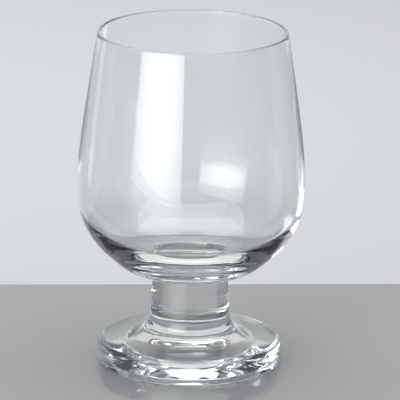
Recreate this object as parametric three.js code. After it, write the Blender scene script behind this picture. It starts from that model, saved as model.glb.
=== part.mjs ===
// Stemmed water glass of clear glass: a blown bowl, a short solid stem and a thick foot, joined hot on one axis.
// Millimetres, +Z up. The origin is on the table, under the middle of the foot.

import * as THREE from "three";

// Foot: a thick disc with a sloping top that flares up to a neck, standing on a ring round a domed dish
const FOOT_RADIUS = 36.9;
const FOOT_EDGE_HEIGHT = 9.4;
const FOOT_TOP_ROUND = 3.2;
const FOOT_TOP_SLOPE = THREE.MathUtils.degToRad(9);
const FOOT_BASE_ROUND = 0.8;
const FLARE_WIDTH = 9;
const FLARE_SPREAD = 6;
const FLARE_DROP = 6;
const NECK_HEIGHT = 20;
const NECK_STEP = 0.2;
const STANDING_RING_WIDTH = 12;
const DISH_DEPTH = 3.4;

// Stem: a solid rod, a little wider where it meets the foot, with a small fillet under the bowl
const STEM_LENGTH = 17;
const STEM_FOOT_RADIUS = 15.75;
const STEM_BOWL_RADIUS = 15;
const STEM_FILLET = 0.5;

// Bowl: outer shape, with heights measured up from its seat on the stem
const BOWL_HEIGHT = 98;
const RIM_RADIUS = 37.7;
const RIM_LEAN = THREE.MathUtils.degToRad(8.5);
const RIM_STRAIGHTNESS = 19.7;
const BELLY_RADIUS = 45.5;
const BELLY_HEIGHT = 35.3;
const BELLY_FULLNESS_ABOVE = 15.3;
const BELLY_FULLNESS_BELOW = 12.5;
const HIP_RADIUS = 34.6;
const HIP_HEIGHT = 8.9;
const HIP_SLOPE = THREE.MathUtils.degToRad(42);
const HIP_STRAIGHTNESS = 8.4;
const SEAT_FLATNESS = 10.4;

// Bowl: wall, growing from the rim down to the hip and a heavy bottom with a flat floor
const RIM_WALL = 1.3;
const BELLY_WALL = 2.3;
const HIP_WALL = 3.8;
const HOLLOW_FULLNESS = 13.4;
const HOLLOW_STRAIGHTNESS = 10;
const FLOOR_THICKNESS = 6.6;
const FLOOR_RADIUS = 14.1;
const FLOOR_SWEEP = 9.5;

// Facets round the axis, along a free curve and along a rounded edge
const ROUND_FACETS = 60;
const CURVE_FACETS = 8;
const EDGE_FACETS = 4;

// The stem and the bowl meet on a disc that takes in the fillet
const seatRadius = STEM_BOWL_RADIUS + STEM_FILLET;

function facetsOf(curve) {
  if (curve.isLineCurve) {
    return 1;
  }
  return curve.isEllipseCurve ? EDGE_FACETS : CURVE_FACETS;
}

// Turns a half-section, drawn from the axis out and back to the axis, into a solid of revolution about +Z
function turned(name, section, material, height) {
  const [start] = section.curves[0].getPoints(1);
  const outline = section.curves.flatMap((curve) => curve.getPoints(facetsOf(curve)).slice(1));
  const geometry = new THREE.LatheGeometry([start, ...outline], ROUND_FACETS);
  const mesh = new THREE.Mesh(geometry.rotateX(Math.PI / 2), material);
  mesh.name = name;
  mesh.position.z = height;
  return mesh;
}

function clearGlass(color) {
  return new THREE.MeshStandardMaterial({ color, roughness: 0.03, metalness: 0, transparent: true, opacity: 0.35 });
}

function footSection() {
  const ringInner = FOOT_RADIUS - FOOT_BASE_ROUND - STANDING_RING_WIDTH;
  const shoulderRadius = FOOT_RADIUS - FOOT_TOP_ROUND;
  const shoulderHeight = FOOT_EDGE_HEIGHT - FOOT_TOP_ROUND;
  const topRadius = shoulderRadius + FOOT_TOP_ROUND * Math.sin(FOOT_TOP_SLOPE);
  const topHeight = shoulderHeight + FOOT_TOP_ROUND * Math.cos(FOOT_TOP_SLOPE);
  const neckRadius = STEM_FOOT_RADIUS + NECK_STEP;
  const flareRadius = neckRadius + Math.min(FLARE_WIDTH, topRadius - neckRadius);
  const flareHeight = topHeight + (topRadius - flareRadius) * Math.tan(FOOT_TOP_SLOPE);
  const flareIn = FLARE_SPREAD * Math.cos(FOOT_TOP_SLOPE);
  const flareUp = FLARE_SPREAD * Math.sin(FOOT_TOP_SLOPE);
  const section = new THREE.Path();
  section.moveTo(0, DISH_DEPTH);
  section.quadraticCurveTo(ringInner / 2, DISH_DEPTH, ringInner, 0);
  section.absarc(FOOT_RADIUS - FOOT_BASE_ROUND, FOOT_BASE_ROUND, FOOT_BASE_ROUND, -Math.PI / 2, 0);
  section.absarc(shoulderRadius, shoulderHeight, FOOT_TOP_ROUND, 0, Math.PI / 2 - FOOT_TOP_SLOPE);
  section.lineTo(flareRadius, flareHeight);
  section.bezierCurveTo(
    flareRadius - flareIn, flareHeight + flareUp,
    neckRadius, NECK_HEIGHT - FLARE_DROP,
    neckRadius, NECK_HEIGHT,
  );
  section.lineTo(0, NECK_HEIGHT);
  return section;
}

function stemSection() {
  const section = new THREE.Path();
  section.moveTo(0, 0);
  section.lineTo(STEM_FOOT_RADIUS, 0);
  section.lineTo(STEM_BOWL_RADIUS, STEM_LENGTH - STEM_FILLET);
  section.absarc(seatRadius, STEM_LENGTH - STEM_FILLET, STEM_FILLET, Math.PI, Math.PI / 2, true);
  section.lineTo(0, STEM_LENGTH);
  return section;
}

function bowlSection() {
  const rimRound = RIM_WALL / 2;
  const rimHeight = BOWL_HEIGHT - rimRound;
  const rimInner = RIM_RADIUS - RIM_WALL;
  const bellyInner = BELLY_RADIUS - BELLY_WALL;
  const rimOut = RIM_STRAIGHTNESS * Math.sin(RIM_LEAN);
  const rimDown = RIM_STRAIGHTNESS * Math.cos(RIM_LEAN);
  const hipOut = HIP_STRAIGHTNESS * Math.cos(HIP_SLOPE);
  const hipUp = HIP_STRAIGHTNESS * Math.sin(HIP_SLOPE);
  const hollowHip = HIP_RADIUS - HIP_WALL * Math.sin(HIP_SLOPE);
  const hollowHipHeight = HIP_HEIGHT + HIP_WALL * Math.cos(HIP_SLOPE);
  const hollowOut = HOLLOW_STRAIGHTNESS * Math.cos(HIP_SLOPE);
  const hollowUp = HOLLOW_STRAIGHTNESS * Math.sin(HIP_SLOPE);
  const section = new THREE.Path();

  // Outside: seat, hip, belly and rim
  section.moveTo(0, 0);
  section.lineTo(seatRadius, 0);
  section.bezierCurveTo(
    seatRadius + SEAT_FLATNESS, 0,
    HIP_RADIUS - hipOut, HIP_HEIGHT - hipUp,
    HIP_RADIUS, HIP_HEIGHT,
  );
  section.bezierCurveTo(
    HIP_RADIUS + hipOut, HIP_HEIGHT + hipUp,
    BELLY_RADIUS, BELLY_HEIGHT - BELLY_FULLNESS_BELOW,
    BELLY_RADIUS, BELLY_HEIGHT,
  );
  section.bezierCurveTo(
    BELLY_RADIUS, BELLY_HEIGHT + BELLY_FULLNESS_ABOVE,
    RIM_RADIUS + rimOut, rimHeight - rimDown,
    RIM_RADIUS, rimHeight,
  );
  section.absarc(RIM_RADIUS - rimRound, rimHeight, rimRound, 0, Math.PI);

  // Inside: down to the belly and the hip, round to the flat floor and in to the axis
  section.bezierCurveTo(
    rimInner + rimOut, rimHeight - rimDown,
    bellyInner, BELLY_HEIGHT + BELLY_FULLNESS_ABOVE,
    bellyInner, BELLY_HEIGHT,
  );
  section.bezierCurveTo(
    bellyInner, BELLY_HEIGHT - HOLLOW_FULLNESS,
    hollowHip + hollowOut, hollowHipHeight + hollowUp,
    hollowHip, hollowHipHeight,
  );
  section.bezierCurveTo(
    hollowHip - hollowOut, hollowHipHeight - hollowUp,
    FLOOR_RADIUS + FLOOR_SWEEP, FLOOR_THICKNESS,
    FLOOR_RADIUS, FLOOR_THICKNESS,
  );
  section.lineTo(0, FLOOR_THICKNESS);
  return section;
}

const glass = new THREE.Group();
glass.add(turned("foot", footSection(), clearGlass(0xdce8ea), 0));
glass.add(turned("stem", stemSection(), clearGlass(0xd6dee0), NECK_HEIGHT));
glass.add(turned("bowl", bowlSection(), clearGlass(0xe4ecee), NECK_HEIGHT + STEM_LENGTH));

export default glass;
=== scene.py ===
# A clear stemmed water glass: bowl, stem and foot of turned glass, on a pale table in a plain studio.

import math

import bpy
from mathutils import Matrix, Vector


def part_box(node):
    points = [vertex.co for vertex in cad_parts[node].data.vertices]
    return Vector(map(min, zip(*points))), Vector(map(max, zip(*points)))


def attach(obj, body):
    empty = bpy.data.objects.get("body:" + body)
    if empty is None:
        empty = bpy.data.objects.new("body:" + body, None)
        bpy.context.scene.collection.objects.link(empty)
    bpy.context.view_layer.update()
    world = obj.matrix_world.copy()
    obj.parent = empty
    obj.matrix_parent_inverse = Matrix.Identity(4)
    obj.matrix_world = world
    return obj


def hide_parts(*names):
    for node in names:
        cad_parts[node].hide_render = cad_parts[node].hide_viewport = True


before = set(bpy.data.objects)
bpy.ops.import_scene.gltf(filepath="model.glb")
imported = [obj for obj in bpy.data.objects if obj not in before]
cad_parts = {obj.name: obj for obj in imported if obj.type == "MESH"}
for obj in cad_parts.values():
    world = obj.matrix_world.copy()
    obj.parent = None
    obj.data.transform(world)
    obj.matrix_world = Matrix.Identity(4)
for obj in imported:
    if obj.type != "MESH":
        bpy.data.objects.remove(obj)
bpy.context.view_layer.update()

MM = 0.001

# Heights of the joints and outer sizes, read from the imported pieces
FOOT_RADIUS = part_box("foot")[1].x
NECK_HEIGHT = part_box("foot")[1].z
STEM_FOOT_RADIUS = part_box("stem")[1].x
SEAT_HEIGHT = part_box("bowl")[0].z
RIM_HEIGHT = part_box("bowl")[1].z
BELLY_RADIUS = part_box("bowl")[1].x

# Foot
FOOT_EDGE_HEIGHT = 9.4 * MM
FOOT_TOP_ROUND = 3.2 * MM
FOOT_TOP_SLOPE = math.radians(9)
FOOT_BASE_ROUND = 0.8 * MM
FLARE_WIDTH = 9 * MM
FLARE_SPREAD = 6 * MM
FLARE_DROP = 6 * MM
NECK_STEP = 0.2 * MM
STANDING_RING_WIDTH = 12 * MM
DISH_DEPTH = 3.4 * MM

# Stem
STEM_BOWL_RADIUS = 15 * MM
STEM_FILLET = 0.5 * MM
SEAT_RADIUS = STEM_BOWL_RADIUS + STEM_FILLET

# Bowl, outside
RIM_RADIUS = 37.7 * MM
RIM_LEAN = math.radians(8.5)
RIM_STRAIGHTNESS = 19.7 * MM
BELLY_HEIGHT = SEAT_HEIGHT + 35.3 * MM
BELLY_FULLNESS_ABOVE = 15.3 * MM
BELLY_FULLNESS_BELOW = 12.5 * MM
HIP_RADIUS = 34.6 * MM
HIP_HEIGHT = SEAT_HEIGHT + 8.9 * MM
HIP_SLOPE = math.radians(42)
HIP_STRAIGHTNESS = 8.4 * MM
SEAT_FLATNESS = 10.4 * MM

# Bowl, inside
RIM_WALL = 1.3 * MM
BELLY_WALL = 2.3 * MM
HIP_WALL = 3.8 * MM
HOLLOW_FULLNESS = 13.4 * MM
HOLLOW_STRAIGHTNESS = 10 * MM
FLOOR_HEIGHT = SEAT_HEIGHT + 6.6 * MM
FLOOR_RADIUS = 14.1 * MM
FLOOR_SWEEP = 9.5 * MM

# Bowl, rim: where its roundness starts, and how far the curves below it pull out and down
RIM_ROUND = RIM_WALL / 2
RIM_BASE = RIM_HEIGHT - RIM_ROUND
RIM_OUT = RIM_STRAIGHTNESS * math.sin(RIM_LEAN)
RIM_DOWN = RIM_STRAIGHTNESS * math.cos(RIM_LEAN)

# Glass finish, and the painted light on the rim
GLASS_IOR = 1.52
GLASS_CLEAR = (0.985, 0.998, 1.0)
FOOT_TINT = (0.90, 0.975, 0.985)
STEM_TINT = (0.965, 0.99, 0.99)
# The rim's blue-grey is painted light: a mostly diffuse band in place of light that has run along the wall
RIM_PAINTED_LIGHT = (0.46, 0.57, 0.64)
RIM_PAINTED_LIGHT_DEPTH = 0.7 * MM
RIM_TRANSMISSION = 0.25
NOISE_DETAIL = 2
SMEAR_SIZE = 9 * MM
SMEAR_START = 0.45
SMEAR_FULL = 0.75
SMEAR_ROUGHNESS = 0.008
WAVE_SIZE = 16 * MM
WAVE_DEPTH = 0.004 * MM
STREAK_STRETCH = 5

# Mesh fineness
SEGMENTS = 192
CURVE_STEPS = 40
EDGE_STEPS = 14
FLAT_STEPS = 6

# Camera, from the photograph's perspective
CAMERA_DISTANCE = 1457.9 * MM
CAMERA_HEIGHT = 487.2 * MM
CAMERA_PITCH = math.radians(16.12)
CAMERA_YAW = math.radians(-0.14)
CAMERA_ROLL = math.radians(0.74)
CAMERA_LENS = 343.3
CAMERA_REACH = 100

# Table, a pale glossy slab just under the foot
TABLE_GAP = 0.2 * MM
TABLE_THICKNESS = 20 * MM
TABLE_BACK = 98.6 * MM
TABLE_FRONT = -380 * MM
TABLE_HALF_WIDTH = 2.0
TABLE_TURN = math.radians(2.6)
TABLE_COLOUR = (0.34, 0.34, 0.35)
TABLE_ROUGHNESS = 0.08

# Ground behind and below the table, with a pool of light on it
GROUND_CENTRE = (-0.4, 3.1, -0.75)
GROUND_SIZE = (30, 30)
POOL_RADIUS = 3.0
POOL_COLOUR = (0.71, 0.726, 0.757)
POOL_FALL = 0.57

# Lights and backdrop. A direction from the glass is an azimuth and an elevation in degrees, and a distance
FOCUS = (0, 0, 0.08)
WHITE = (1, 1, 1)
SOFTBOX_DIRECTION = (-36, 7, 1.9)
SOFTBOX_SIZE = (1.9, 1.46)
SOFTBOX_FALL_RADIUS = SOFTBOX_SIZE[0] / math.sqrt(2)
SOFTBOX_EDGE = 1.1
SOFTBOX_PEAK = 7.2
LAMP_ABOVE_CENTRE = (0, 0.4, 2.2)
LAMP_ABOVE_SIZE = (3.4, 2.2)
LAMP_ABOVE_STRENGTH = 2.2
CEILING_CENTRE = (0, -2.4, 2.3)
CEILING_SIZE = (5, 3)
CEILING_STRENGTH = 0.6
LAMP_BEHIND_DIRECTION = (151, -18.5, 1.65)
LAMP_BEHIND_SIZE = (0.48, 0.15)
LAMP_BEHIND_STRENGTH = 1.7
BACKDROP_CENTRE = (0, 4, 1.7)
BACKDROP_SIZE = (6, 5)
BACKDROP_STRENGTH = 0.7
WORLD_COLOUR = (0.06, 0.065, 0.08)

# Bounces, enough for light to cross every wall of the glass and every fused joint
LIGHT_BOUNCES = 24
CLEAR_BOUNCES = 64


def bezier(start, out, into, end):
    """Points along a cubic curve, without its start."""
    points = []
    for step in range(1, CURVE_STEPS + 1):
        gone = step / CURVE_STEPS
        left = 1 - gone
        weights = (left**3, 3 * left * left * gone, 3 * left * gone * gone, gone**3)
        pulls = list(zip(weights, (start, out, into, end)))
        points.append(tuple(sum(weight * corner[axis] for weight, corner in pulls) for axis in (0, 1)))
    return points


def quadratic(start, pull, end):
    """Points along a curve drawn towards one pull, without its start."""
    out = tuple(near + 2 / 3 * (middle - near) for near, middle in zip(start, pull))
    into = tuple(far + 2 / 3 * (middle - far) for far, middle in zip(end, pull))
    return bezier(start, out, into, end)


def arc(centre, radius, first, last):
    """Points along a round edge between two angles, with its start."""
    angles = [first + (last - first) * step / EDGE_STEPS for step in range(EDGE_STEPS + 1)]
    return [(centre[0] + radius * math.cos(angle), centre[1] + radius * math.sin(angle)) for angle in angles]


def straight(start, end, steps=FLAT_STEPS):
    """Points along a line, without its start."""
    points = []
    for step in range(1, steps + 1):
        points.append(tuple(near + (far - near) * step / steps for near, far in zip(start, end)))
    return points


def foot_outline():
    ring_inner = FOOT_RADIUS - FOOT_BASE_ROUND - STANDING_RING_WIDTH
    base_corner = (FOOT_RADIUS - FOOT_BASE_ROUND, FOOT_BASE_ROUND)
    shoulder = (FOOT_RADIUS - FOOT_TOP_ROUND, FOOT_EDGE_HEIGHT - FOOT_TOP_ROUND)
    neck = (STEM_FOOT_RADIUS + NECK_STEP, NECK_HEIGHT - NECK_STEP)
    under = [(0, DISH_DEPTH)]
    under += quadratic(under[-1], (ring_inner / 2, DISH_DEPTH), (ring_inner, 0))
    under += straight(under[-1], (base_corner[0], 0))
    edge = arc(base_corner, FOOT_BASE_ROUND, -math.pi / 2, 0)
    side = straight(edge[-1], (FOOT_RADIUS, shoulder[1]))
    top = arc(shoulder, FOOT_TOP_ROUND, 0, math.pi / 2 - FOOT_TOP_SLOPE)
    flare_radius = neck[0] + FLARE_WIDTH
    flare_start = (flare_radius, top[-1][1] + (top[-1][0] - flare_radius) * math.tan(FOOT_TOP_SLOPE))
    flare_out = (
        flare_start[0] - FLARE_SPREAD * math.cos(FOOT_TOP_SLOPE),
        flare_start[1] + FLARE_SPREAD * math.sin(FOOT_TOP_SLOPE),
    )
    slope = straight(top[-1], flare_start)
    flare = bezier(flare_start, flare_out, (neck[0], neck[1] - FLARE_DROP), neck)
    step = arc((STEM_FOOT_RADIUS, neck[1]), NECK_STEP, 0, math.pi / 2)
    return under + edge[1:] + side + top[1:] + slope + flare + step[1:]


def stem_outline():
    low = (STEM_FOOT_RADIUS, NECK_HEIGHT)
    high = (STEM_BOWL_RADIUS, SEAT_HEIGHT - STEM_FILLET)
    fillet = arc((SEAT_RADIUS, high[1]), STEM_FILLET, math.pi, math.pi / 2)
    return [low] + straight(low, high, CURVE_STEPS) + fillet[1:]


def bowl_outside():
    hip_out = HIP_STRAIGHTNESS * math.cos(HIP_SLOPE)
    hip_up = HIP_STRAIGHTNESS * math.sin(HIP_SLOPE)
    seat = (SEAT_RADIUS, SEAT_HEIGHT)
    hip = (HIP_RADIUS, HIP_HEIGHT)
    belly = (BELLY_RADIUS, BELLY_HEIGHT)
    low = bezier(seat, (SEAT_RADIUS + SEAT_FLATNESS, SEAT_HEIGHT), (hip[0] - hip_out, hip[1] - hip_up), hip)
    side = bezier(
        hip,
        (hip[0] + hip_out, hip[1] + hip_up),
        (BELLY_RADIUS, BELLY_HEIGHT - BELLY_FULLNESS_BELOW),
        belly,
    )
    high = bezier(
        belly,
        (BELLY_RADIUS, BELLY_HEIGHT + BELLY_FULLNESS_ABOVE),
        (RIM_RADIUS + RIM_OUT, RIM_BASE - RIM_DOWN),
        (RIM_RADIUS, RIM_BASE),
    )
    return [seat] + low + side + high


def bowl_inside():
    rim_inner = RIM_RADIUS - RIM_WALL
    belly_inner = BELLY_RADIUS - BELLY_WALL
    hip_out = HOLLOW_STRAIGHTNESS * math.cos(HIP_SLOPE)
    hip_up = HOLLOW_STRAIGHTNESS * math.sin(HIP_SLOPE)
    belly = (belly_inner, BELLY_HEIGHT)
    hip = (HIP_RADIUS - HIP_WALL * math.sin(HIP_SLOPE), HIP_HEIGHT + HIP_WALL * math.cos(HIP_SLOPE))
    floor = (FLOOR_RADIUS, FLOOR_HEIGHT)
    high = bezier(
        (rim_inner, RIM_BASE),
        (rim_inner + RIM_OUT, RIM_BASE - RIM_DOWN),
        (belly_inner, BELLY_HEIGHT + BELLY_FULLNESS_ABOVE),
        belly,
    )
    side = bezier(
        belly,
        (belly_inner, BELLY_HEIGHT - HOLLOW_FULLNESS),
        (hip[0] + hip_out, hip[1] + hip_up),
        hip,
    )
    low = bezier(hip, (hip[0] - hip_out, hip[1] - hip_up), (FLOOR_RADIUS + FLOOR_SWEEP, FLOOR_HEIGHT), floor)
    return high + side + low + straight(floor, (0, FLOOR_HEIGHT))


def bowl_outline():
    lip = arc((RIM_RADIUS - RIM_ROUND, RIM_BASE), RIM_ROUND, 0, math.pi)
    return bowl_outside() + lip[1:] + bowl_inside()


def ring_points(radius, height):
    angles = [2 * math.pi * segment / SEGMENTS for segment in range(SEGMENTS)]
    return [(radius * math.cos(angle), radius * math.sin(angle), height) for angle in angles]


def turned_wall(outline):
    """The points, rings and faces of a turned outline. A point on the axis stays a single point."""
    points = []
    rings = []
    for radius, height in outline:
        first = len(points)
        on_axis = radius == 0
        points += [(0, 0, height)] if on_axis else ring_points(radius, height)
        rings.append([first] * SEGMENTS if on_axis else list(range(first, first + SEGMENTS)))
    faces = []
    for low, high in zip(rings, rings[1:]):
        for here in range(SEGMENTS):
            beside = (here + 1) % SEGMENTS
            faces.append(tuple(dict.fromkeys((low[here], low[beside], high[beside], high[here]))))
    return points, rings, faces


def new_object(name, points, faces, materials):
    mesh = bpy.data.meshes.new(name)
    mesh.from_pydata(points, [], faces)
    for material in materials:
        mesh.materials.append(material)
    piece = bpy.data.objects.new(name, mesh)
    bpy.context.scene.collection.objects.link(piece)
    return piece


def turned(name, outline, materials, caps):
    """A closed mesh of revolution. Caps in the second material close the ends that meet another piece."""
    points, rings, walls = turned_wall(outline)
    ends = {"first": tuple(reversed(rings[0])), "last": tuple(rings[-1])}
    cap_faces = [ends[cap] for cap in caps]
    piece = new_object(name, points, walls + cap_faces, materials)
    for polygon in piece.data.polygons:
        is_wall = polygon.index < len(walls)
        polygon.use_smooth = is_wall
        polygon.material_index = 0 if is_wall else 1
    cap_rings = [set(face) for face in cap_faces]
    for edge in piece.data.edges:
        edge.use_edge_sharp = any(ring.issuperset(edge.vertices) for ring in cap_rings)
    return piece


def new_material(name, shader_type):
    """A material that shows one shader, which is returned with its node tree."""
    material = bpy.data.materials.new(name)
    material.use_nodes = True
    tree = material.node_tree
    tree.nodes.clear()
    shader = tree.nodes.new(shader_type)
    output = tree.nodes.new("ShaderNodeOutputMaterial")
    tree.links.new(shader.outputs[0], output.inputs["Surface"])
    return material, tree, shader


def place_on_object(tree):
    return tree.nodes.new("ShaderNodeTexCoord").outputs["Object"]


def map_range(tree, source, start, end, low, high, interpolation="LINEAR"):
    node = tree.nodes.new("ShaderNodeMapRange")
    node.interpolation_type = interpolation
    for socket, value in (("From Min", start), ("From Max", end), ("To Min", low), ("To Max", high)):
        node.inputs[socket].default_value = value
    tree.links.new(source, node.inputs["Value"])
    return node.outputs["Result"]


def noise(tree, size, stretch):
    """Soft noise with features of a given size, drawn out along the glass's axis."""
    scale = tree.nodes.new("ShaderNodeMapping")
    scale.inputs["Scale"].default_value = (1 / size, 1 / size, 1 / (size * stretch))
    cloud = tree.nodes.new("ShaderNodeTexNoise")
    cloud.inputs["Scale"].default_value = 1
    cloud.inputs["Detail"].default_value = NOISE_DETAIL
    tree.links.new(place_on_object(tree), scale.inputs["Vector"])
    tree.links.new(scale.outputs["Vector"], cloud.inputs["Vector"])
    return cloud.outputs["Fac"]


def height_reach(tree, start, end):
    """Zero below one height and one above another."""
    split = tree.nodes.new("ShaderNodeSeparateXYZ")
    tree.links.new(place_on_object(tree), split.inputs["Vector"])
    return map_range(tree, split.outputs["Z"], start, end, 0, 1, "SMOOTHSTEP")


def radius_reach(tree, start, end):
    """Zero inside one radius from the object's Z axis and one outside another."""
    flat = tree.nodes.new("ShaderNodeVectorMath")
    flat.operation = "MULTIPLY"
    flat.inputs[1].default_value = (1, 1, 0)
    radius = tree.nodes.new("ShaderNodeVectorMath")
    radius.operation = "LENGTH"
    tree.links.new(place_on_object(tree), flat.inputs[0])
    tree.links.new(flat.outputs["Vector"], radius.inputs[0])
    return map_range(tree, radius.outputs["Value"], start, end, 0, 1, "SMOOTHSTEP")


def clear_glass(name, stretch=1):
    """Glass with faint smears and the long, shallow waves of glass worked hot."""
    material, tree, shader = new_material(name, "ShaderNodeBsdfPrincipled")
    shader.inputs["IOR"].default_value = GLASS_IOR
    shader.inputs["Transmission Weight"].default_value = 1
    smears = noise(tree, SMEAR_SIZE, stretch)
    roughness = map_range(tree, smears, SMEAR_START, SMEAR_FULL, 0, SMEAR_ROUGHNESS)
    waves = tree.nodes.new("ShaderNodeBump")
    waves.inputs["Distance"].default_value = WAVE_DEPTH
    tree.links.new(roughness, shader.inputs["Roughness"])
    tree.links.new(noise(tree, WAVE_SIZE, stretch), waves.inputs["Height"])
    tree.links.new(waves.outputs["Normal"], shader.inputs["Normal"])
    return material, tree, shader


def colour_glass(tree, shader, end_colour, reach):
    """Colours the glass from clear, where the reach is zero, to the end colour, where it is one. The end
    colour is the glass's own tint on the foot and stem, and painted light on the rim.
    """
    colour = tree.nodes.new("ShaderNodeValToRGB")
    colour.color_ramp.elements[0].color = (*GLASS_CLEAR, 1)
    colour.color_ramp.elements[1].color = (*end_colour, 1)
    tree.links.new(reach, colour.inputs["Fac"])
    tree.links.new(colour.outputs["Color"], shader.inputs["Base Color"])


def foot_glass():
    """Thick glass looks faintly blue-green towards the foot's edge."""
    material, tree, shader = clear_glass("foot_glass")
    colour_glass(tree, shader, FOOT_TINT, radius_reach(tree, FOOT_RADIUS - STANDING_RING_WIDTH, FOOT_RADIUS))
    return material


def stem_glass():
    """Drawn glass keeps faint streaks along its length."""
    material, tree, shader = clear_glass("stem_glass", STREAK_STRETCH)
    colour_glass(tree, shader, STEM_TINT, noise(tree, SMEAR_SIZE, STREAK_STRETCH))
    return material


def bowl_glass():
    """The rim gathers light that has run along the wall. This light is painted on the rim as a less clear,
    mostly diffuse blue-grey line.
    """
    material, tree, shader = clear_glass("bowl_glass")
    # Painted light: a blue-grey band over the top of the rim, with less transmission
    rim = height_reach(tree, RIM_HEIGHT - RIM_PAINTED_LIGHT_DEPTH, RIM_HEIGHT)
    colour_glass(tree, shader, RIM_PAINTED_LIGHT, rim)
    transmission = map_range(tree, rim, 0, 1, 1, RIM_TRANSMISSION)
    tree.links.new(transmission, shader.inputs["Transmission Weight"])
    return material


def fused_joint():
    """Where two pieces of glass are fused nothing shows, so light passes straight on."""
    material, _, _ = new_material("fused_joint", "ShaderNodeBsdfTransparent")
    return material


def add_glass():
    joint = fused_joint()
    pieces = {
        "foot": turned("foot_glass", foot_outline(), [foot_glass(), joint], ["last"]),
        "stem": turned("stem_glass", stem_outline(), [stem_glass(), joint], ["first", "last"]),
        "bowl": turned("bowl_glass", bowl_outline(), [bowl_glass(), joint], ["first"]),
    }
    for node, piece in pieces.items():
        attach(piece, "root")
        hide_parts(node)


def glow(name, colour):
    """A glowing surface. Its strength socket is returned too, to be set or linked to a pattern."""
    material, tree, light = new_material(name, "ShaderNodeEmission")
    light.inputs["Color"].default_value = (*colour, 1)
    return material, tree, light.inputs["Strength"]


def even_light(name, strength):
    material, _, level = glow(name, WHITE)
    level.default_value = strength
    return material


def softbox_light(name):
    """Brightest in the middle and falling towards its edges, as a diffuser with a lamp behind it does."""
    material, tree, level = glow(name, WHITE)
    scale = tree.nodes.new("ShaderNodeMapping")
    scale.inputs["Scale"].default_value = (1 / SOFTBOX_FALL_RADIUS, 1 / SOFTBOX_FALL_RADIUS, 1)
    fall = tree.nodes.new("ShaderNodeTexGradient")
    fall.gradient_type = "SPHERICAL"
    tree.links.new(place_on_object(tree), scale.inputs["Vector"])
    tree.links.new(scale.outputs["Vector"], fall.inputs["Vector"])
    tree.links.new(map_range(tree, fall.outputs["Fac"], 0, 1, SOFTBOX_EDGE, SOFTBOX_PEAK), level)
    return material


def pool_of_light(name):
    """Lit ground, brightest in the middle of a round pool and dimmer outside it."""
    material, tree, level = glow(name, POOL_COLOUR)
    away = radius_reach(tree, 0, POOL_RADIUS)
    tree.links.new(map_range(tree, away, 0, 1, 1, POOL_FALL), level)
    return material


def panel(name, centre, target, size, material):
    """A flat sheet that faces the target."""
    right, top = (length / 2 for length in size)
    corners = [(-right, -top, 0), (right, -top, 0), (right, top, 0), (-right, top, 0)]
    piece = new_object(name, corners, [(0, 1, 2, 3)], [material])
    piece.location = centre
    piece.rotation_euler = (Vector(target) - Vector(centre)).to_track_quat("Z", "Y").to_euler()
    return piece


def table_material():
    material, _, shader = new_material("table", "ShaderNodeBsdfPrincipled")
    shader.inputs["Base Color"].default_value = (*TABLE_COLOUR, 1)
    shader.inputs["Roughness"].default_value = TABLE_ROUGHNESS
    return material


def add_table():
    """A slab whose back edge is turned a little, so that it lies level in the picture."""
    top, under = -TABLE_GAP, -TABLE_GAP - TABLE_THICKNESS
    corners = [(x, y) for y in (TABLE_FRONT, TABLE_BACK) for x in (-TABLE_HALF_WIDTH, TABLE_HALF_WIDTH)]
    points = [(x, y, z) for z in (under, top) for x, y in corners]
    faces = [(0, 2, 3, 1), (4, 5, 7, 6), (0, 1, 5, 4), (1, 3, 7, 5), (3, 2, 6, 7), (2, 0, 4, 6)]
    table = new_object("table", points, faces, [table_material()])
    table.rotation_euler.z = TABLE_TURN


def add_ground():
    above = (*GROUND_CENTRE[:2], 0)
    panel("ground", GROUND_CENTRE, above, GROUND_SIZE, pool_of_light("ground"))


def seen_from_glass(azimuth, elevation, distance):
    """A point in a direction from the glass. The azimuth is zero at the camera and grows to the right."""
    turn, rise = math.radians(azimuth), math.radians(elevation)
    across = distance * math.cos(rise)
    return (across * math.sin(turn), -across * math.cos(turn), FOCUS[2] + distance * math.sin(rise))


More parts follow.
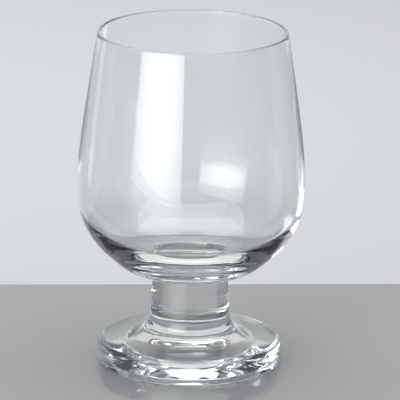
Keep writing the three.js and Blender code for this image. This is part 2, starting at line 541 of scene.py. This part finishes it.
def add_lights():
    """A softbox front left, a broad lamp above, a dim ceiling in front and a low lamp behind the table."""
    softbox = seen_from_glass(*SOFTBOX_DIRECTION)
    behind = seen_from_glass(*LAMP_BEHIND_DIRECTION)
    below_lamp = (*LAMP_ABOVE_CENTRE[:2], 0)
    lamp_above = even_light("lamp_above", LAMP_ABOVE_STRENGTH)
    ceiling = even_light("ceiling", CEILING_STRENGTH)
    lamp_behind = even_light("lamp_behind", LAMP_BEHIND_STRENGTH)
    lamps = [
        panel("softbox_left", softbox, FOCUS, SOFTBOX_SIZE, softbox_light("softbox_left")),
        panel("lamp_above", LAMP_ABOVE_CENTRE, below_lamp, LAMP_ABOVE_SIZE, lamp_above),
        panel("ceiling", CEILING_CENTRE, FOCUS, CEILING_SIZE, ceiling),
        panel("lamp_behind", behind, FOCUS, LAMP_BEHIND_SIZE, lamp_behind),
    ]
    for lamp in lamps:
        lamp.visible_camera = False


def add_backdrop():
    """A lit upright sheet behind the ground, which shows mirrored in the table and the glass."""
    in_front = (0, 0, BACKDROP_CENTRE[2])
    light = even_light("backdrop", BACKDROP_STRENGTH)
    panel("backdrop", BACKDROP_CENTRE, in_front, BACKDROP_SIZE, light)


def add_world():
    """A dim room, so that the glass keeps dark lines."""
    world = bpy.data.worlds.new("studio")
    world.use_nodes = True
    world.node_tree.nodes["Background"].inputs["Color"].default_value = (*WORLD_COLOUR, 1)
    bpy.context.scene.world = world


def add_camera():
    data = bpy.data.cameras.new("camera")
    data.lens = CAMERA_LENS
    data.clip_end = CAMERA_REACH
    camera = bpy.data.objects.new("camera", data)
    turn = Matrix.Rotation(CAMERA_YAW, 4, "Z") @ Matrix.Rotation(math.pi / 2 - CAMERA_PITCH, 4, "X")
    turn = turn @ Matrix.Rotation(CAMERA_ROLL, 4, "Z")
    camera.matrix_world = Matrix.Translation((0, -CAMERA_DISTANCE, CAMERA_HEIGHT)) @ turn
    bpy.context.scene.collection.objects.link(camera)
    bpy.context.scene.camera = camera


def set_up_picture():
    scene = bpy.context.scene
    scene.view_settings.view_transform = "Standard"
    scene.cycles.max_bounces = LIGHT_BOUNCES
    scene.cycles.transmission_bounces = LIGHT_BOUNCES
    scene.cycles.glossy_bounces = LIGHT_BOUNCES
    scene.cycles.transparent_max_bounces = CLEAR_BOUNCES


add_camera()
add_glass()
add_table()
add_ground()
add_lights()
add_backdrop()
add_world()
set_up_picture()
